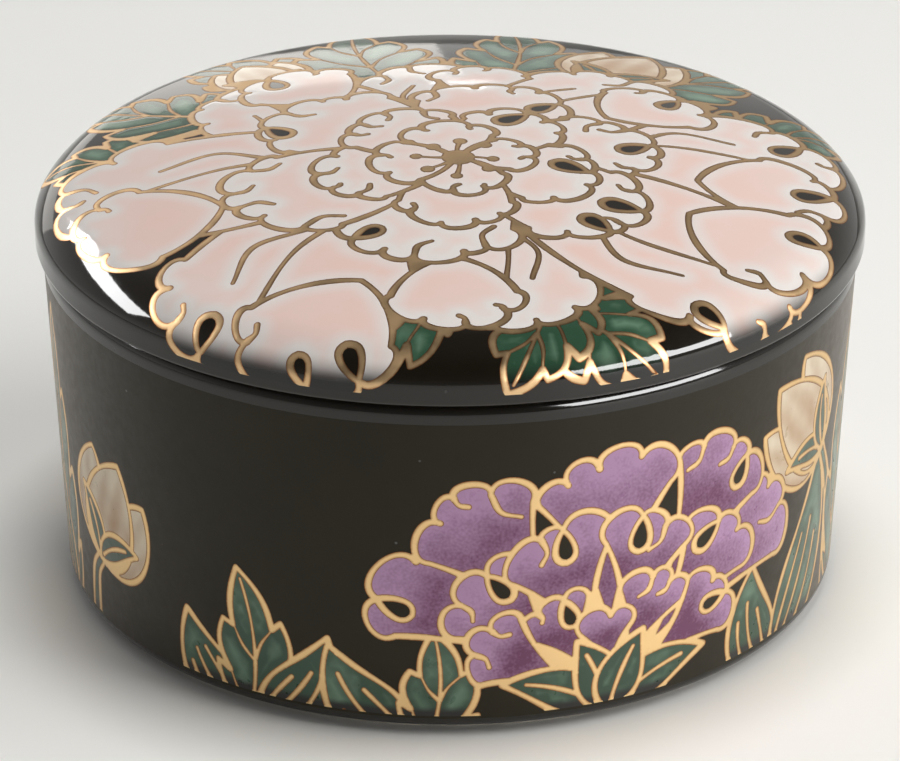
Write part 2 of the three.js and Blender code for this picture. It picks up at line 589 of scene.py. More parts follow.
def lobe(a, b, bulge):
    """A round bump from one notch to the next, to the left of the way from a to b."""
    chord = b - a
    out = chord * 1j * bulge
    return bezier(a, a - chord * 0.12 + out, b + chord * 0.12 + out, b)


# From picture to mesh

GRID = 1.25  # spacing of the mesh where nothing is painted
GRID_INSET = GRID * 0.6  # from the grid to the edge of what it fills
KEEP_OFF = 0.35  # least distance of a grid point from a line
LEAST_PATCH = 0.45  # square millimetres of enamel or bare glaze between lines
LEAST_GILT = 0.06  # square millimetres of gilt


class Cut:
    """The flat triangulation of a picture: places, triangles, and what each triangle is."""

    def __init__(self, picture, rim, borders, grid):
        points, edges = list(rim), [(i, (i + 1) % len(rim)) for i in range(len(rim))]
        for border, closed in borders:
            whole = np.ones(len(border))
            self.add_chain(points, edges, border, closed, whole > 0, whole)
        for index, mark in enumerate(picture.marks):
            for chain, closed in mark.chains():
                shown = self.shown(picture, index, chain)
                self.add_chain(points, edges, chain, closed, shown, picture.room(chain))
        gaps = nearest_gaps(grid, points)
        points += [g for g, gap in zip(grid, gaps) if gap > KEEP_OFF]
        flat = [Vector((p.real, p.imag)) for p in points]
        found = delaunay_2d_cdt(flat, edges, [], 0, 1e-4, False)
        self.places = np.array([complex(v.x, v.y) for v in found[0]])
        self.faces = np.array([f for f in found[2] if len(f) == 3])
        self.paint(picture)
        self.clear_specks()
        self.measure(picture)

    @staticmethod
    def shown(picture, index, chain):
        """Which points of a chain no later shape covers."""
        shown = np.ones(len(chain), bool)
        for mark in picture.marks[index + 1 :]:
            if mark.enamel:
                near = mark.near(chain)
                near = near[shown[near]]
                if len(near):
                    shown[near[mark.holds(chain[near])]] = False
        return shown

    @staticmethod
    def add_chain(points, edges, chain, closed, shown, room):
        """Adds the shown part of a chain that lies inside the border."""
        kept = {}

        def index_of(i):
            if i not in kept:
                kept[i] = len(points)
                points.append(chain[i])
            return kept[i]

        last = len(chain) if closed else len(chain) - 1
        for a in range(last):
            b = (a + 1) % len(chain)
            if not (shown[a] or shown[b]) or (room[a] < 0 and room[b] < 0):
                continue
            if room[a] < 0 or room[b] < 0:
                share = room[a] / (room[a] - room[b])
                points.append(chain[a] + (chain[b] - chain[a]) * share)
                edges.append((index_of(a if room[a] >= 0 else b), len(points) - 1))
            else:
                edges.append((index_of(a), index_of(b)))

    def paint(self, picture):
        """Gives each triangle the enamel that its middle lies on, or "" for bare glaze."""
        middles = self.places[self.faces].mean(axis=1)
        inside = picture.room(middles) > 0
        self.enamel = np.full(len(self.faces), "", dtype=object)
        self.owner = np.full(len(self.faces), -1)
        for index, mark in enumerate(picture.marks):
            near = mark.near(middles)
            near = near[inside[near]]
            if not len(near):
                continue
            if mark.closed:
                held = near[mark.holds(middles[near])]
                self.enamel[held] = mark.enamel
                self.owner[held] = index
            gilded = near[mark.gilt_gap(middles[near]) < 0]
            self.enamel[gilded] = "gilt"
            self.owner[gilded] = index

    def clear_specks(self):
        """Gilds patches too small to paint, and paints over stray specks of gilt."""
        sides, neighbours = {}, [[] for _ in self.faces]
        for face, corners in enumerate(self.faces.tolist()):
            for a, b in zip(corners, corners[1:] + corners[:1]):
                other = sides.setdefault((min(a, b), max(a, b)), face)
                if other != face:
                    neighbours[face].append(other)
                    neighbours[other].append(face)
        a, b, c = (self.places[self.faces[:, k]] for k in range(3))
        areas = np.abs(((b - a).conj() * (c - a)).imag) / 2
        found, seen = self.enamel.tolist(), [False] * len(self.faces)
        for start, kind in enumerate(found):
            if seen[start]:
                continue
            patch, around, seen[start] = [start], [], True
            for face in patch:
                for other in neighbours[face]:
                    if found[other] != kind:
                        around.append(other)
                    elif not seen[other]:
                        seen[other] = True
                        patch.append(other)
            area = areas[patch].sum()
            if kind != "gilt" and area < LEAST_PATCH:
                self.enamel[patch] = "gilt"
            elif kind == "gilt" and area < LEAST_GILT and around:
                self.enamel[patch] = found[around[0]]
                self.owner[patch] = self.owner[around[0]]

    def measure(self, picture):
        """Distance of each place from the edge of the gilt, and each corner's place in its shape."""
        gilt = np.zeros(len(self.places), bool)
        other = np.zeros(len(self.places), bool)
        is_gilt = self.enamel == "gilt"
        gilt[self.faces[is_gilt].ravel()] = True
        other[self.faces[~is_gilt].ravel()] = True
        border = np.flatnonzero(gilt & other & (picture.room(self.places) > 0.01))
        self.edge = nearest_gaps(self.places, self.places[border])
        roots = np.array([m.root for m in picture.marks] + [0j])
        spans = np.array([m.tip - m.root for m in picture.marks] + [1 + 0j])
        spans[np.abs(spans) < 1e-6] = 1
        tones = np.array([m.tone for m in picture.marks] + [0.0])
        owner = np.repeat(self.owner, 3)
        share = (self.places[self.faces.ravel()] - roots[owner]) / spans[owner]
        self.along = np.clip(share.real, -0.5, 1.5)
        self.aside = np.clip(share.imag, -1, 1)
        self.tone = tones[owner]


def nearest_gaps(places, others):
    """Distance from each place to the nearest of the others."""
    tree = KDTree(len(others))
    for i, other in enumerate(others):
        tree.insert((other.real, other.imag, 0), i)
    tree.balance()
    return np.array([tree.find((p.real, p.imag, 0))[2] for p in places])


def grid_points(low, high, holds):
    """A staggered grid of places between two corners, where holds says so."""
    rows = np.arange(low.imag, high.imag, GRID * math.sqrt(0.75))
    columns = np.arange(low.real, high.real, GRID)
    shift = np.where(np.arange(len(rows)) % 2, GRID / 2, 0)
    grid = (columns[None, :] + shift[:, None]) + 1j * rows[:, None]
    grid = grid.ravel()
    return grid[holds(grid)]


# The two pictures

PICTURE_MARGIN = 0.35  # from the picture's border to the edge of its sheet
LID_STEM, WALL_STEM = 2.8, 2.2  # widths of the buds' stems
CUP_LEAF = 6.5  # width of the leaves under the purple blossom
BLADE_LINES = (-0.42, 0.1, 0.55)  # lines of a long leaf, as shares of its half width


def lid_picture(dome):
    """A pink blossom that fills the lid, with leaves, buds and stems round it."""
    limit = dome.reach - PICTURE_MARGIN
    picture = Picture(
        seed=7, room=lambda p: limit - np.abs(p), line=0.47, eyes=0.17, ticks=0.45
    )
    heart = 1 - 7j

    # Leaves that come out from under the blossom and lie along the rim: root, tip, width, bend
    for root, tip, width, bend in (
        (0 - 38j, -23 - 50j, 14, 0.12),
        (9 - 38j, 27 - 49j, 14, -0.10),
        (12 - 36j, 7 - 54j, 12, 0.08),
        (30 - 30j, 45 - 34j, 13, -0.12),
        (-32 + 2j, -52 + 4j, 14, 0.12),
        (-26 + 10j, -47 + 23j, 15, 0.12),
        (-16 + 18j, -36 + 36j, 15, -0.12),
        (-6 + 16j, -13 + 48j, 17, 0.12),
        (6 + 16j, 8 + 50j, 15, -0.12),
        (20 + 14j, 41 + 33j, 16, 0.12),
        (30 + 6j, 51 + 15j, 15, -0.12),
    ):
        picture.leaf("green", root, tip, width, bend)
    # Buds on stems from under it: the stem's knee, the bud's root and tip, its width
    for knee, root, tip, width in (
        (-16 + 8j, -22 + 21j, -27 + 33j, 10),
        (10 + 8j, 19 + 22j, 26 + 38j, 13),
        (-5 - 26j, -9 - 38j, -13 - 46j, 9),
    ):
        picture.stem("cream", LID_STEM, heart, knee, root)
        picture.bud("cream", "green", root, tip, width)

    # Large outer petals, in painting order: aim, reach, half spread, lobes
    for aim, reach, spread, lobes in (
        (-126, 50, 21, 7),
        (95, 33, 21, 5),
        (10, 47, 20, 6),
        (-80, 39, 18, 5),
        (139, 40, 20, 6),
        (52, 38, 20, 6),
        (-36, 48, 21, 7),
        (184, 48, 21, 6),
    ):
        picture.large_petal("pink", heart, aim, reach, spread, lobes)
    # Rings inside them: how many petals, reach, half spread, lobes, turn
    for ring in ((6, 26, 29, 6, 20), (5, 17, 33, 5, 55), (4, 9.5, 42, 3, 10)):
        picture.ring("pink", heart, *ring)
    picture.stamens(heart, count=8, reach=4.6)
    return picture


def wall_picture(low, high):
    """A purple blossom seen from the side, leaf sprays and buds; plainer round the back."""
    middle, reach = (low + high) / 2, (high - low) / 2 - PICTURE_MARGIN
    picture = Picture(
        seed=11,
        room=lambda p: reach - np.abs(p.imag - middle),
        line=0.45,
        eyes=0.42,
        ticks=0.35,
    )

    def spray(across, *leaves):
        """Leaves from one root under the wall's foot: (sideways, height, width, bend, teeth)."""
        for aside, height, width, bend, teeth in leaves:
            root = complex(across + aside * 0.1, low - 4)
            tip = complex(across + aside, low + height)
            if teeth:
                picture.leaf("green", root, tip, width, bend, teeth)
            else:
                picture.blade("green", root, tip, width, bend, BLADE_LINES)

    def side_blossom(across, size, petals):
        """A blossom in profile on a short cup: (aim, reach, half spread, lobes)."""
        heart = complex(across, low + 1)
        for aim, length_mm, spread, lobes in petals:
            reach = length_mm * size
            picture.petal(
                "purple", heart, aim, reach, spread, lobes, cup=0.12, bulge=0.62, bow=-0.13
            )
        for aim, reach, bend in ((166, 15, -0.2), (14, 15, 0.2), (118, 10, -0.1), (62, 10, 0.1)):
            tip = heart + reach * size * heading(aim)
            picture.blade("green", heart - 2j, tip, CUP_LEAF * size, bend)

    def bud_stem(foot, knee, root, tip, width=8.0):
        picture.stem("green", WALL_STEM, foot, knee, root)
        picture.bud("cream", "green", root, tip, width)

    full = (
        (146, 35, 13, 3),
        (36, 35, 13, 3),
        (124, 37, 14, 4),
        (60, 37, 14, 4),
        (92, 34, 17, 4),
        (136, 26, 16, 3),
        (48, 27, 16, 3),
        (109, 26, 17, 3),
        (77, 25, 16, 3),
        (122, 17, 19, 3),
        (66, 17, 19, 3),
        (94, 12, 20, 2),
        (150, 20, 17, 3),
        (33, 20, 17, 3),
    )
    plain = full[1:5] + full[7:9] + full[12:]

    # Front, from left to right
    spray(-63, (-4, 37, 11, 0.12, 4), (-12, 22, 10, 0.12, 0))
    bud_stem(complex(-56, low - 2), -55 + 8j, -53 + 11j, -47 + 26j, 14)
    spray(-26, (-9, 9, 8, 0.2, 0), (-1, 17, 10, -0.16, 3), (11, 10, 8, -0.2, 0))
    spray(-3, (-12, 9, 9, 0.22, 0), (1, 12, 9, -0.16, 3))
    spray(46, (-4, 12, 9, 0.2, 0), (11, 22, 11, -0.22, 0))
    bud_stem(complex(64, low - 2), 62 + 16j, 58 + 24j, 45 + 37j, 13)
    spray(70, (2, 36, 12, 0.14, 4), (12, 20, 10, -0.14, 0))
    side_blossom(20, 0.94, full)

    # Round the back, plainer
    spray(98, (-9, 17, 10, 0.14, 0), (4, 25, 10, -0.12, 4))
    spray(140, (-3, 16, 9, 0.14, 3), (10, 12, 9, -0.16, 0))
    side_blossom(122, 0.75, plain)
    spray(-134, (-8, 20, 10, 0.14, 4), (5, 13, 9, -0.16, 0))
    bud_stem(complex(-122, low - 2), -120 + 14j, -117 + 22j, -112 + 30j)
    spray(-98, (-7, 13, 9, 0.16, 0), (6, 21, 10, -0.12, 4))
    return picture


# Materials

# Settings of nodes that are used often. A Mix node's colour inputs are 6 and 7.
SMOOTH = {"interpolation_type": "SMOOTHSTEP"}
COLOURS = {"data_type": "RGBA", "out": 2}
TIMES = {"operation": "MULTIPLY"}
TIMES_PLUS = {"operation": "MULTIPLY_ADD"}

# Millimetres
GLAZE_WAVE_DEPTH = 0.010
PIT_SPACING = 3.4  # between places where the glaze may have a pinhole; about half of them have one
PIT_FLAT, PIT_EDGE = 0.119, 0.204  # radii of a pinhole's middle and of its edge
ENAMEL_DEPTH = 0.010
GILT_DEPTH = 0.015
CLAY_GRAIN_DEPTH = 0.03

FADE_BLACK = "#121210"  # the near-black that the enamels go over to near the lid's side and the wall's foot
HAZE_TINT = "#fff7ef"
TONE_SPREAD = 0.12  # how much deeper or paler one shape is than the next


def add(tree, kind, inputs=None, out=0, **settings):
    """Adds a node, with settings on it and values or links on its inputs, and gives an output."""
    node = tree.nodes.new("ShaderNode" + kind)
    for name, value in settings.items():
        setattr(node, name, value)
    for name, value in (inputs or {}).items():
        if isinstance(value, bpy.types.NodeSocket):
            tree.links.new(value, node.inputs[name])
        else:
            node.inputs[name].default_value = value
    return node.outputs[out]


def new_material(name):
    """An empty material: its node tree, its shader and its Object coordinates."""
    material = bpy.data.materials.new(name)
    material.use_nodes = True
    tree = material.node_tree
    return material, tree, tree.nodes["Principled BSDF"], add(tree, "TexCoord", out="Object")


def dress(shader, links, values):
    """Links what varies over the surface to a shader, and sets what is the same all over it."""
    for name, socket in links.items():
        shader.id_data.links.new(socket, shader.inputs[name])
    for name, value in values.items():
        shader.inputs[name].default_value = value


def rgba(value):
    return (*value, 1.0)


def per_mm(size):
    """The scale of a texture whose features are this many millimetres, in Object coordinates."""
    return 1 / (size * MM)


def satin_haze(weight):
    """The fine crystals of a satin glaze scatter light that grazes it."""
    return {
        "Sheen Weight": weight,
        "Sheen Roughness": 0.35,
        "Sheen Tint": rgba(linear(HAZE_TINT)),
    }


def glaze(name, base, rough, wave_mm, pits_and_glints, shine=0.5, haze=0.0):
    """Black glaze, glass fused on porcelain: deep, faintly wavy and clouded, with pinholes, each a small
    dip painted pale as a glint where it catches light.
    """
    material, tree, shader, place = new_material(name)
    cloud = add(tree, "TexNoise", {"Vector": place, "Scale": per_mm(9)})
    lighter = rgba([c * 1.5 + 0.002 for c in base])
    tint = add(tree, "Mix", {0: cloud, 6: rgba(base), 7: lighter}, **COLOURS)
    cells = {"Vector": place, "Scale": per_mm(PIT_SPACING)}
    from_pit = add(tree, "TexVoronoi", cells, "Distance")
    chosen = add(tree, "MapRange", {0: from_pit.node.outputs["Color"], 1: 0.5, 2: 0.52}, **SMOOTH)
    reach = {1: PIT_FLAT / PIT_SPACING, 2: PIT_EDGE / PIT_SPACING, 3: 1, 4: 0}
    pit_and_glint = add(tree, "MapRange", {0: from_pit, **reach}, **SMOOTH)
    pit_and_glint = add(tree, "Math", {0: pit_and_glint, 1: chosen}, **TIMES)
    pit_and_glint = add(tree, "Math", {0: pit_and_glint, 1: pits_and_glints}, **TIMES)
    # A pinhole's dip is the bump below; its pale colour is a painted glint where it catches light
    tint = add(tree, "Mix", {0: pit_and_glint, 6: tint, 7: rgba([c + 0.09 for c in base])}, **COLOURS)
    wave = add(tree, "TexNoise", {"Vector": place, "Scale": per_mm(wave_mm), "Detail": 3})
    height = add(tree, "Math", {0: pit_and_glint, 1: -0.8, 2: wave}, **TIMES_PLUS)
    grain = add(tree, "TexNoise", {"Vector": place, "Scale": per_mm(1.3), "Detail": 4})
    uneven = {1: 0.2, 2: 0.8, 3: rough * 0.85, 4: rough * 1.2}
    links = {
        "Base Color": tint,
        "Roughness": add(tree, "MapRange", {0: grain, **uneven}, **SMOOTH),
        "Normal": add(tree, "Bump", {"Height": height, "Distance": GLAZE_WAVE_DEPTH * MM}),
    }
    dress(shader, links, {"IOR": 1.52, "Specular IOR Level": shine, **satin_haze(haze)})
    return material


@dataclass
class Wash:
    """How an enamel runs from pale (0) to deep (1): the sum of these parts."""

    base: float
    rim: float  # added away from the gilt, over rim_mm
    rim_mm: float
    inner: float  # added towards the root, below from_share..1 of the shape's length
    from_share: float
    wander: float
    streaks: float = 0.0
    stipple: float = 0.0


# In the order of Wash's values
WASHES = {
    "pink": Wash(-0.08, 0.68, 2.4, 0.4, 0.5, 0.45),
    "purple": Wash(-0.02, 0.2, 1.5, 0.85, 0.66, 0.9, stipple=0.5),
    "green": Wash(0.95, -0.6, 1.5, 0.15, 0.4, 1.6),
    "cream": Wash(0.15, 0.15, 1.6, 0.45, 0.3, 0.9, streaks=0.35),
}


@dataclass
class Firing:
    """How the enamels and the gilt of one piece came out of the kiln."""

    kind: str
    rough: float
    gold_rough: float
    haze: float


GLOSSY_FIRING = Firing("glossy", rough=0.08, gold_rough=0.42, haze=0.0)
SATIN_FIRING = Firing("satin", rough=0.32, gold_rough=0.36, haze=0.35)


def wash_depth(tree, place, edge, along, wash):
    """How deep an enamel's tone is: petals shade towards their root, leaves towards their veins."""
    cloud = add(tree, "TexNoise", {"Vector": place, "Scale": per_mm(6), "Detail": 3})
    inner = {0: along, 1: wash.from_share, 2: 1, 3: 1, 4: 0}
    parts = [
        (add(tree, "MapRange", {0: edge, 1: 0.1, 2: wash.rim_mm}, **SMOOTH), wash.rim),
        (add(tree, "MapRange", inner, **SMOOTH), wash.inner),
        (add(tree, "Attribute", out="Fac", attribute_name="tone"), TONE_SPREAD),
        (cloud, wash.wander),
    ]
    if wash.streaks:
        # Brush streaks along the shape
        aside = add(tree, "Attribute", out="Fac", attribute_name="aside")
        way = add(tree, "Math", {0: along, 1: 0.15}, **TIMES)
        across = add(tree, "CombineXYZ", {0: aside, 1: way})
        wavy = {"Vector": across, "Scale": 1.6, "Distortion": 4, "Detail": 3}
        parts.append((add(tree, "TexWave", wavy, "Fac"), wash.streaks))
    if wash.stipple:
        # Printed dots, 0.35 mm apart
        dots = add(tree, "TexNoise", {"Vector": place, "Scale": per_mm(0.35), "Detail": 0})
        parts.append((dots, wash.stipple))
    # The patterns lie between 0 and 1, and add and take away alike
    depth = wash.base - (wash.wander + wash.streaks + wash.stipple) / 2
    for value, weight in parts:
        depth = add(tree, "Math", {0: value, 1: weight, 2: depth}, **TIMES_PLUS)
    return depth


def enamel(name, pale, deep, wash, firing, fade):
    """Enamel colour fired on, under a clear glaze: smooth, swelling a little from its gilt line,
    washed from a pale to a deep tone. It goes over to near-black between two heights, fade."""
    material, tree, shader, place = new_material(name)
    edge = add(tree, "Attribute", out="Fac", attribute_name="edge_mm")
    along = add(tree, "Attribute", out="Fac", attribute_name="along")
    depth = wash_depth(tree, place, edge, along, wash)
    tint = add(tree, "Mix", {0: depth, 6: rgba(pale), 7: rgba(deep)}, **COLOURS)
    level = add(tree, "SeparateXYZ", {0: place}, "Z")
    limits = {1: fade[0] * MM, 2: fade[1] * MM, 3: 1, 4: 0}
    to_black = add(tree, "MapRange", {0: level, **limits}, **SMOOTH)
    tint = add(tree, "Mix", {0: to_black, 6: tint, 7: rgba(linear(FADE_BLACK))}, **COLOURS)
    swell = add(tree, "TexNoise", {"Vector": place, "Scale": per_mm(0.9), "Detail": 3})
    rise = add(tree, "MapRange", {0: edge, 2: 0.5}, **SMOOTH)
    height = add(tree, "Math", {0: swell, 1: 0.25, 2: rise}, **TIMES_PLUS)
    grain = add(tree, "TexNoise", {"Vector": place, "Scale": per_mm(1.7), "Detail": 3})
    uneven = {1: 0.2, 2: 0.8, 3: firing.rough * 0.8, 4: firing.rough * 1.25}
    links = {
        "Base Color": tint,
        "Roughness": add(tree, "MapRange", {0: grain, **uneven}, **SMOOTH),
        "Normal": add(tree, "Bump", {"Height": height, "Distance": ENAMEL_DEPTH * MM}),
    }
    dress(shader, links, {"IOR": 1.5, **satin_haze(firing.haze)})
    return material


def gilt(name, gold, brown, rough):
    """Fired gilding: a thin line of gold, a little domed and mottled, brown along its edges: partly
    the line's own brown border, partly painted shade where the domed line slopes away."""
    material, tree, shader, place = new_material(name)
    edge = add(tree, "Attribute", out="Fac", attribute_name="edge_mm")
    patch = add(tree, "TexNoise", {"Vector": place, "Scale": per_mm(2.2), "Detail": 3})
    grain = add(tree, "TexNoise", {"Vector": place, "Scale": per_mm(0.4), "Detail": 3})
    # Full gold from 0.34 mm inside the line's edge, less in the low places of both patterns
    full = add(tree, "MapRange", {0: edge, 1: 0.12, 2: 0.34, 3: -0.7, 4: 0.4}, **SMOOTH)
    full = add(tree, "Math", {0: patch, 1: 0.5, 2: full}, **TIMES_PLUS)
    full = add(tree, "Math", {0: grain, 1: 0.9, 2: full}, **TIMES_PLUS)
    # Brown towards the line's edges: partly its own border colour, partly painted shade where the domed
    # line slopes down
    tan = [0.45 * b + 0.55 * g for b, g in zip(brown, gold)]
    rim = add(tree, "MapRange", {0: edge, 1: 0.04, 2: 0.13}, **SMOOTH)
    tint = add(tree, "Mix", {0: rim, 6: rgba(brown), 7: rgba(tan)}, **COLOURS)
    tint = add(tree, "Mix", {0: full, 6: tint, 7: rgba(gold)}, **COLOURS)
    rise = add(tree, "MapRange", {0: edge, 2: 0.45}, **SMOOTH)
    height = add(tree, "Math", {0: grain, 1: 0.2, 2: rise}, **TIMES_PLUS)
    uneven = {1: 0.25, 2: 0.75, 3: rough * 0.8, 4: rough * 1.25}
    links = {
        "Base Color": tint,
        "Roughness": add(tree, "MapRange", {0: patch, **uneven}, **SMOOTH),
        "Normal": add(tree, "Bump", {"Height": height, "Distance": GILT_DEPTH * MM}),
    }
    dress(shader, links, {"Metallic": 1.0})
    return material


def bare_porcelain(name, base):
    """Unglazed fired clay: matt, fine-grained and a little greyed where it has stood."""
    material, tree, shader, place = new_material(name)
    wear = add(tree, "TexNoise", {"Vector": place, "Scale": per_mm(4), "Detail": 4})
    worn = add(tree, "MapRange", {0: wear, 1: 0.35, 2: 0.75}, **SMOOTH)
    greyed = rgba([c * 0.72 for c in base])
    # Grains 0.3 mm wide, coarser than real ones, so that they show
    grain = add(tree, "TexNoise", {"Vector": place, "Scale": per_mm(0.3), "Detail": 4})
    links = {
        "Base Color": add(tree, "Mix", {0: worn, 6: rgba(base), 7: greyed}, **COLOURS),
        "Normal": add(tree, "Bump", {"Height": grain, "Distance": CLAY_GRAIN_DEPTH * MM}),
    }
    dress(shader, links, {"Roughness": 0.75})
    return material


def seamless_paper(name, base):
    """Pale background paper, rolled smooth: matt, with tones that drift very slightly."""
    material, tree, shader, place = new_material(name)
    drift = add(tree, "TexNoise", {"Vector": place, "Scale": per_mm(60)})
    darker = rgba([c * 0.97 for c in base])
    tint = add(tree, "Mix", {0: drift, 6: rgba(base), 7: darker}, **COLOURS)
    dress(shader, {"Base Color": tint}, {"Roughness": 0.6})
    return material


def finishes(colours, firing, gold, fade):
    """The enamels and the gilt of one piece, by the names that the picture uses."""
    tones = {
        "pink": (colours.pink_pale, colours.pink_deep),
        "purple": (colours.plum_pale, colours.plum_deep),
        "green": (colours.green_pale, colours.green_deep),
        "cream": (colours.cream_pale, colours.cream_deep),
    }
    made = {
        tone: enamel(f"{firing.kind}_{tone}_enamel", pale, deep, WASHES[tone], firing, fade)
        for tone, (pale, deep) in tones.items()
    }
    gilding = f"{firing.kind}_fired_gilding"
    return {**made, "gilt": gilt(gilding, gold, colours.gilt_edge_and_shade, firing.gold_rough)}


# Pieces

WELD = 0.002 * MM  # seams close up over this distance
# Steps of the lid's mesh over its shoulder and over its corner and side
SHOULDER_STEP = 0.75
CORNER_STEP = 0.38
# Where the colours go over to near-black: above the lid's side, above the wall's lower end
LID_FADE = (0, 2.8)
WALL_FADE = (0.8, 1.9)


def sheet_mesh(name, cut, place, materials):
    """A mesh of a cut picture laid on a surface. place gives (x, y, z, lean) in millimetres."""
    x, y, z, lean = place(cut.places)
    mesh = bpy.data.meshes.new(name)
    corners = np.stack([x, y, z], axis=1) * MM
    mesh.from_pydata(corners.tolist(), [], cut.faces.tolist())
    for material in materials.values():
        mesh.materials.append(material)
    slots = {enamel_name: i for i, enamel_name in enumerate(materials)}
    indices = [slots[e] if e else slots["ground"] for e in cut.enamel]
    mesh.polygons.foreach_set("material_index", indices)
    for title, domain, values in (
        ("edge_mm", "POINT", cut.edge),
        ("lean", "POINT", lean),
        ("along", "CORNER", cut.along),
        ("aside", "CORNER", cut.aside),
        ("tone", "CORNER", cut.tone),
    ):
        layer = mesh.attributes.new(title, "FLOAT", domain)
        layer.data.foreach_set("value", np.asarray(values, np.float32))
    return mesh


def add_turned(piece, stations, sides, slot):
    """Adds an open profile spun round the axis, with its normals' lean and its slot."""
    mesh = bmesh.new()
    lean = mesh.verts.layers.float.new("lean")
    profile = []
    for radius, height, angle_of_normal in stations:
        vertex = mesh.verts.new((radius * MM, 0, height * MM))
        vertex[lean] = math.radians(angle_of_normal)
        profile.append(vertex)
    lines = [mesh.edges.new(pair) for pair in zip(profile, profile[1:])]
    bmesh.ops.spin(
        mesh,
        geom=profile + lines,
        cent=(0, 0, 0),
        axis=(0, 0, 1),
        angle=math.tau,
        steps=sides,
        use_merge=True,
    )
    for face in mesh.faces:
        face.material_index = slot
    turned = bpy.data.meshes.new("turned")
    mesh.to_mesh(turned)
    mesh.free()
    piece.from_mesh(turned)
    bpy.data.meshes.remove(turned)


def finish_piece(name, sheet, profiles, sides, node):
    """Closes a sheet with turned profiles, gives the piece its normals and puts it in the frame."""
    mesh = bmesh.new()
    mesh.from_mesh(sheet)
    order = [m.name for m in sheet.materials]
    for stations, material in profiles:
        add_turned(mesh, stations, sides, order.index(material.name))
    loose = [v for v in mesh.verts if any(e.is_boundary for e in v.link_edges)]
    axis = [v for v in mesh.verts if math.hypot(v.co.x, v.co.y) < WELD / 2]
    bmesh.ops.remove_doubles(mesh, verts=list(set(loose + axis)), dist=WELD)
    bmesh.ops.recalc_face_normals(mesh, faces=mesh.faces)
    open_edges = sum(1 for e in mesh.edges if len(e.link_faces) != 2)
    if open_edges:
        raise RuntimeError(f"{name} has {open_edges} open or shared edges")
    mesh.to_mesh(sheet)
    mesh.free()

    sheet.shade_smooth()
    count = len(sheet.vertices)
    co = np.empty(count * 3, np.float32)
    sheet.vertices.foreach_get("co", co)
    co = co.reshape(-1, 3)
    lean = np.empty(count, np.float32)
    sheet.attributes["lean"].data.foreach_get("value", lean)
    round_angle = np.arctan2(co[:, 1], co[:, 0])
    flat = np.cos(lean)
    normals = np.stack([flat * np.cos(round_angle), flat * np.sin(round_angle), np.sin(lean)], axis=1)
    sheet.normals_split_custom_set_from_vertices(normals.tolist())
    sheet.attributes.remove(sheet.attributes["lean"])

    piece = bpy.data.objects.new(name, sheet)
    bpy.context.scene.collection.objects.link(piece)
    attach(piece, "root")
    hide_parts(node)
    return piece


class PORCELAIN_OT_lid(bpy.types.Operator):
    """Make the domed lid, with its picture and its locating ring"""

    bl_idname = "porcelain.lid"
    bl_label = "Lid"

    def execute(self, context):
        size, colours = context.scene.box_sizes, context.scene.paint_colours
        dome = Dome(size)
        picture = lid_picture(dome)
        bends = dome.bends
        rings = []
        shoulder = (bends[0], bends[1], SHOULDER_STEP)
        corner = (bends[1], dome.reach, CORNER_STEP)
        for begin, end, step in (shoulder, corner):
            count = math.ceil((end - begin) / step)
            for k in range(count):
                rings += list(circle(begin + (end - begin) * k / count, size.sides))
        crown = grid_points(
            complex(-bends[0], -bends[0]),
            complex(bends[0], bends[0]),
            lambda p: np.abs(p) < bends[0] - GRID_INSET,
        )
        rim = circle(dome.reach, size.sides)
        border = circle(dome.reach - PICTURE_MARGIN, size.sides)
        cut = Cut(picture, rim, [(border, True)], [*rings, *crown])

        def place(flat):
            radius, height, slope = dome.at(np.abs(flat))
            unit = flat / np.maximum(np.abs(flat), 1e-9)
            return radius * unit.real, radius * unit.imag, height, math.pi / 2 - slope

        black = glaze(
            "glossy_black_glaze_lid", colours.gloss_black, rough=0.055, wave_mm=2.5, pits_and_glints=0.5
        )
        fade = [dome.band_top + rise for rise in LID_FADE]
        painted = finishes(colours, GLOSSY_FIRING, colours.gilt_lid, fade)
        materials = {"ground": black, **painted}
        sheet = sheet_mesh("lid_porcelain", cut, place, materials)
        profiles = [(self.under(size, dome), black)]
        finish_piece("lid_porcelain", sheet, profiles, size.sides, "lid")
        return {"FINISHED"}

    @staticmethod
    def under(size, dome):
        """The rest of the lid's profile: side, edge, seat, locating ring and hollow underside."""
        seat, edge = size.body_height / MM, size.lid_edge / MM
        ring_round, fillet = size.flange_round / MM, size.flange_fillet / MM
        outer = (size.body_radius - size.wall - size.flange_gap) / MM
        inner = outer - size.flange_width / MM
        foot = seat - size.flange_depth / MM
        shell = dome.crown_radius - size.lid_wall / MM
        fillet_r = inner - fillet
        reach = shell - fillet
        fillet_z = dome.crown_centre + math.sqrt(reach**2 - fillet_r**2)
        lean = math.degrees(math.acos(fillet_r / reach))
        under = arc(0, dome.crown_centre, shell, lean, 90, True, CEILING_STEP)[1:]
        under[-1] = (0, under[-1][1], under[-1][2])
        return [
            (dome.radius, dome.band_top - dome.skirt, 0),
            *arc(dome.radius - edge, seat + edge, edge, 0, -90),
            (outer, seat, -45),
            *arc(outer - ring_round, foot + ring_round, ring_round, 0, -90),
            *arc(inner + ring_round, foot + ring_round, ring_round, -90, -180),
            *arc(fillet_r, fillet_z, fillet, 0, lean, True, INNER_ARC_STEP),
            *under,
        ]


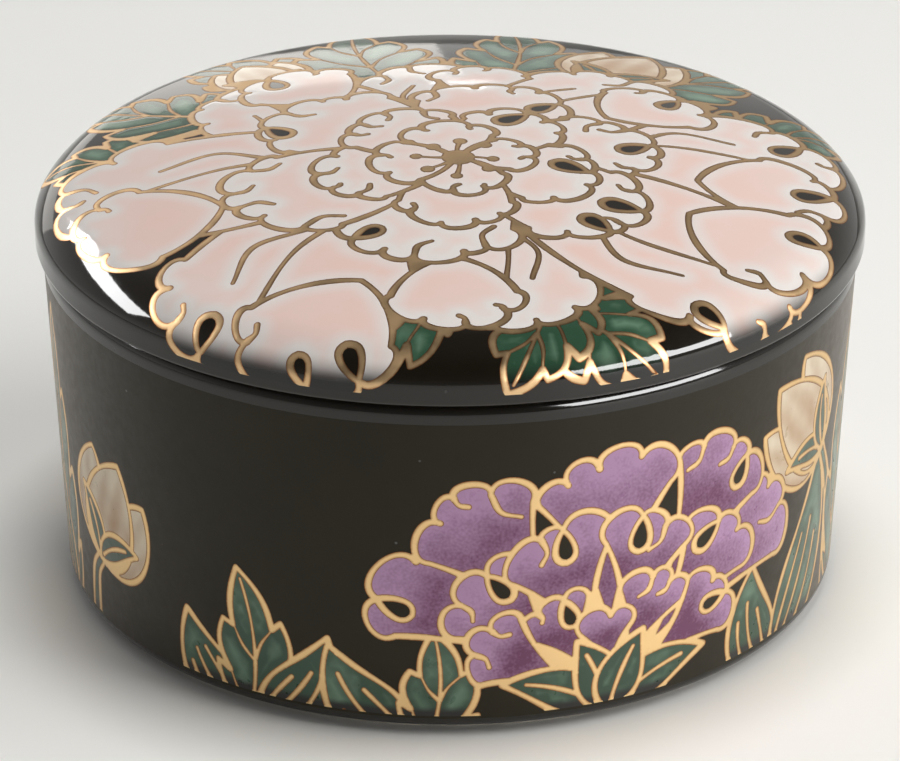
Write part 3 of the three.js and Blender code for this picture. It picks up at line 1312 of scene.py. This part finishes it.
class PORCELAIN_OT_body(bpy.types.Operator):
    """Make the round body, with the picture on its wall and its foot ring"""

    bl_idname = "porcelain.body"
    bl_label = "Body"

    def execute(self, context):
        size, colours = context.scene.box_sizes, context.scene.paint_colours
        top_radius, foot_radius = size.body_radius / MM, size.foot_radius / MM
        low = (size.ring_height + size.foot_round) / MM
        high = (size.body_height - size.shoulder_round) / MM
        satin = size.satin_top / MM
        taper = (top_radius - foot_radius) / (high - low)
        sides, half_round = size.sides, math.pi * top_radius
        picture = wall_picture(low, satin)

        across = np.linspace(-half_round, half_round, sides + 1)
        heights = np.linspace(low, satin, math.ceil((satin - low) / GRID) + 1)
        rim = [
            *(across + 1j * low),
            *(half_round + 1j * heights[1:]),
            *(across[-2::-1] + 1j * satin),
            *(-half_round + 1j * heights[-2:0:-1]),
        ]
        grid = grid_points(
            complex(-half_round + GRID_INSET, low + GRID_INSET),
            complex(half_round - GRID_INSET, satin - GRID_INSET),
            lambda p: p.real < half_round - GRID_INSET,
        )
        shown = across[1:-1]
        borders = [(shown + 1j * z, False) for z in (low + PICTURE_MARGIN, satin - PICTURE_MARGIN)]
        cut = Cut(picture, rim, borders, grid)

        def place(flat):
            turn = flat.real / top_radius
            radius = top_radius - taper * (high - flat.imag)
            lean = np.full(len(flat), -math.atan(taper))
            return radius * np.sin(turn), -radius * np.cos(turn), flat.imag, lean

        gloss = glaze(
            "glossy_black_glaze_body", colours.gloss_black, rough=0.09, wave_mm=2.5, pits_and_glints=0.5
        )
        matt = glaze(
            "satin_black_glaze",
            colours.satin_black,
            rough=0.42,
            wave_mm=0.8,
            pits_and_glints=1.0,
            shine=0.2,
            haze=0.65,
        )
        clay = bare_porcelain("bare_porcelain_foot", colours.bare_clay)
        fade = [low + rise for rise in WALL_FADE]
        painted = finishes(colours, SATIN_FIRING, colours.gilt_wall, fade)
        materials = {"ground": matt, **painted, "gloss": gloss, "clay": clay}
        sheet = sheet_mesh("body_porcelain", cut, place, materials)
        wall_at = (top_radius, taper, high)
        upper = self.rim_and_inside(size, wall_at, satin)
        lower, foot, under = self.underside(size, low)
        profiles = [(upper, gloss), (lower, gloss), (foot, clay), (under, gloss)]
        finish_piece("body_porcelain", sheet, profiles, sides, "box_body")
        return {"FINISHED"}

    @staticmethod
    def rim_and_inside(size, wall_at, satin):
        """Profile from the top of the satin wall over the shoulder and rim to the floor's middle."""
        top_radius, taper, wall_top = wall_at
        rim, wall = size.body_height / MM, size.wall / MM
        shoulder, inner_round = size.shoulder_round / MM, size.rim_inner_round / MM
        fillet = size.floor_fillet / MM
        floor = (size.ring_height + size.floor) / MM
        inner = top_radius - wall
        inner_foot = top_radius - taper * (wall_top - floor - fillet) - wall
        lean = -math.degrees(math.atan(taper))
        return [
            (top_radius - taper * (wall_top - satin), satin, lean),
            *arc(top_radius - shoulder, wall_top, shoulder, 0, 90),
            *arc(inner + inner_round, rim - inner_round, inner_round, 90, 180),
            *arc(inner_foot - fillet, floor + fillet, fillet, 0, -90, True, INNER_ARC_STEP),
            (0, floor, 90),
        ]

    @staticmethod
    def underside(size, low):
        """Profiles of the lower edge, the bare foot ring and the glazed underside."""
        foot, turn = size.foot_radius / MM, size.foot_round / MM
        ring, small = size.ring_height / MM, size.ring_round / MM
        outer = foot - size.ring_inset / MM
        inner = outer - size.ring_width / MM
        lower = [
            *arc(foot - turn, low, turn, 0, -90),
            (outer, ring, -45),
            (outer, small, 0),
        ]
        bare = [
            *arc(outer - small, small, small, 0, -90),
            *arc(inner + small, small, small, -90, -180),
        ]
        under = [(inner, small, 180), (inner, ring, 225), (inner - small, ring, -90), (0, ring, -90)]
        return lower, bare, under


# Stage


@dataclass
class Lamp:
    """A soft panel that faces the box. Angles are degrees, azimuth 0 in front and 90 to the right."""

    name: str
    azimuth: float
    elevation: float
    distance: float
    width: float
    height: float
    radiance: float
    tint: str
    lights: bool  # it lights the surfaces
    mirrored: bool  # glaze and gilt mirror it


# In the order of Lamp's values: lengths in metres, radiance in watts per square metre and
# steradian
LAMPS = (
    Lamp("key_softbox", 78, 42, 0.75, 0.55, 0.55, 3.4, "#fffdfa", True, False),
    Lamp("overhead_fill", 150, 86, 1.3, 0.4, 0.4, 14, "#ffffff", True, False),
    Lamp("front_fill", 20, 35, 1.6, 1.0, 0.8, 0.4, "#fffdfa", True, False),
    Lamp("left_card", -122, 32, 1.0, 0.85, 0.17, 16, "#ffffff", False, True),
    Lamp("right_card", 54, 24, 1.0, 0.8, 0.36, 17, "#ffffff", False, True),
    Lamp("back_left_card", -160, 7, 1.4, 1.0, 0.28, 1.1, "#fffaf2", False, True),
    Lamp("far_window", 179.5, 14, 1.4, 0.055, 0.022, 5, "#ffffff", False, True),
)

# The room's tones at the horizon, part of the way up, and overhead, and how high those are
HORIZON_TONE = "#e2e1de"
MIDWAY_TONE = "#a2a09e"
OVERHEAD_TONE = "#595959"
MIDWAY = 0.42
OVERHEAD = 0.85
BEHIND = 0.3  # the room's strength behind the camera, as a share of that in front
FLOOR_RADIUS = 6  # metres
FRAME_WIDTH = 36  # millimetres of the camera's frame, which its lens is given for


def stand(scene, item, azimuth, elevation, distance, target=0.0):
    """Puts a lamp or the camera round the box, turned to a point on its axis."""
    a, e = math.radians(azimuth), math.radians(elevation)
    away = Vector((math.sin(a) * math.cos(e), -math.cos(a) * math.cos(e), math.sin(e)))
    item.location = Vector((0, 0, target)) + away * distance
    item.rotation_mode = "QUATERNION"
    item.rotation_quaternion = away.to_track_quat("Z", "Y")
    scene.collection.objects.link(item)


class PORCELAIN_OT_stage(bpy.types.Operator):
    """Make the pale floor, the soft lights and the camera"""

    bl_idname = "porcelain.stage"
    bl_label = "Stage"

    def execute(self, context):
        scene = context.scene
        self.floor(scene)
        self.room(scene)
        for lamp in LAMPS:
            self.lamp(scene, lamp)
        self.camera(scene)
        scene.view_settings.view_transform = "Standard"
        return {"FINISHED"}

    @staticmethod
    def floor(scene):
        mesh = bmesh.new()
        bmesh.ops.create_circle(mesh, cap_ends=True, segments=64, radius=FLOOR_RADIUS)
        data = bpy.data.meshes.new("floor")
        mesh.to_mesh(data)
        mesh.free()
        data.materials.append(seamless_paper("pale_paper_ground", scene.paint_colours.floor))
        floor = bpy.data.objects.new("floor", data)
        scene.collection.objects.link(floor)

    @staticmethod
    def room(scene):
        """A room that is pale at the horizon, dark overhead and darker behind the camera."""
        world = bpy.data.worlds.new("studio")
        world.use_nodes = True
        scene.world = world
        tree = world.node_tree
        way = add(tree, "TexCoord", out="Generated")
        parts = add(tree, "SeparateXYZ", {0: way}).node.outputs
        shades = add(tree, "ValToRGB", {0: parts["Z"]})
        stops = shades.node.color_ramp.elements
        stops[0].color = rgba(linear(HORIZON_TONE))
        stops[1].position = OVERHEAD
        stops[1].color = rgba(linear(OVERHEAD_TONE))
        stops.new(MIDWAY).color = rgba(linear(MIDWAY_TONE))
        front = {0: parts["Y"], 1: -0.9, 2: 0.1, 3: BEHIND}
        strength = add(tree, "MapRange", front, **SMOOTH)
        dress(tree.nodes["Background"], {"Color": shades, "Strength": strength}, {})

    @staticmethod
    def lamp(scene, lamp):
        data = bpy.data.lights.new(lamp.name, "AREA")
        data.shape = "RECTANGLE"
        data.size, data.size_y = lamp.width, lamp.height
        data.energy = lamp.radiance * math.pi * lamp.width * lamp.height
        data.color = linear(lamp.tint)
        light = bpy.data.objects.new(lamp.name, data)
        light.visible_camera = False
        light.visible_diffuse = lamp.lights
        light.visible_glossy = lamp.mirrored
        stand(scene, light, lamp.azimuth, lamp.elevation, lamp.distance)

    @staticmethod
    def camera(scene):
        stage = scene.stage_settings
        data = bpy.data.cameras.new("camera")
        data.lens = stage.lens
        data.sensor_width = FRAME_WIDTH
        camera = bpy.data.objects.new("camera", data)
        elevation = math.degrees(stage.elevation)
        stand(scene, camera, 0, elevation, stage.distance, stage.target_height)
        scene.camera = camera


class VIEW3D_PT_porcelain_box(bpy.types.Panel):
    """The box's pieces and its sizes"""

    bl_label = "Porcelain box"
    bl_space_type = "VIEW_3D"
    bl_region_type = "UI"
    bl_category = "Porcelain box"

    def draw(self, context):
        for operator in OPERATORS:
            self.layout.operator(operator.bl_idname)
        for title, group in GROUPS.items():
            for name in group.__annotations__:
                self.layout.prop(getattr(context.scene, title), name)


OPERATORS = (PORCELAIN_OT_body, PORCELAIN_OT_lid, PORCELAIN_OT_stage)
GROUPS = {"box_sizes": BoxSizes, "paint_colours": PaintColours, "stage_settings": StageSettings}
CLASSES = (*GROUPS.values(), *OPERATORS, VIEW3D_PT_porcelain_box)


def register():
    for cls in CLASSES:
        bpy.utils.register_class(cls)
    for title, group in GROUPS.items():
        setattr(bpy.types.Scene, title, PointerProperty(type=group))


def unregister():
    for title in GROUPS:
        delattr(bpy.types.Scene, title)
    for cls in reversed(CLASSES):
        bpy.utils.unregister_class(cls)


def main():
    register()
    bpy.ops.porcelain.body()
    bpy.ops.porcelain.lid()
    bpy.ops.porcelain.stage()


if __name__ == "__main__":
    main()
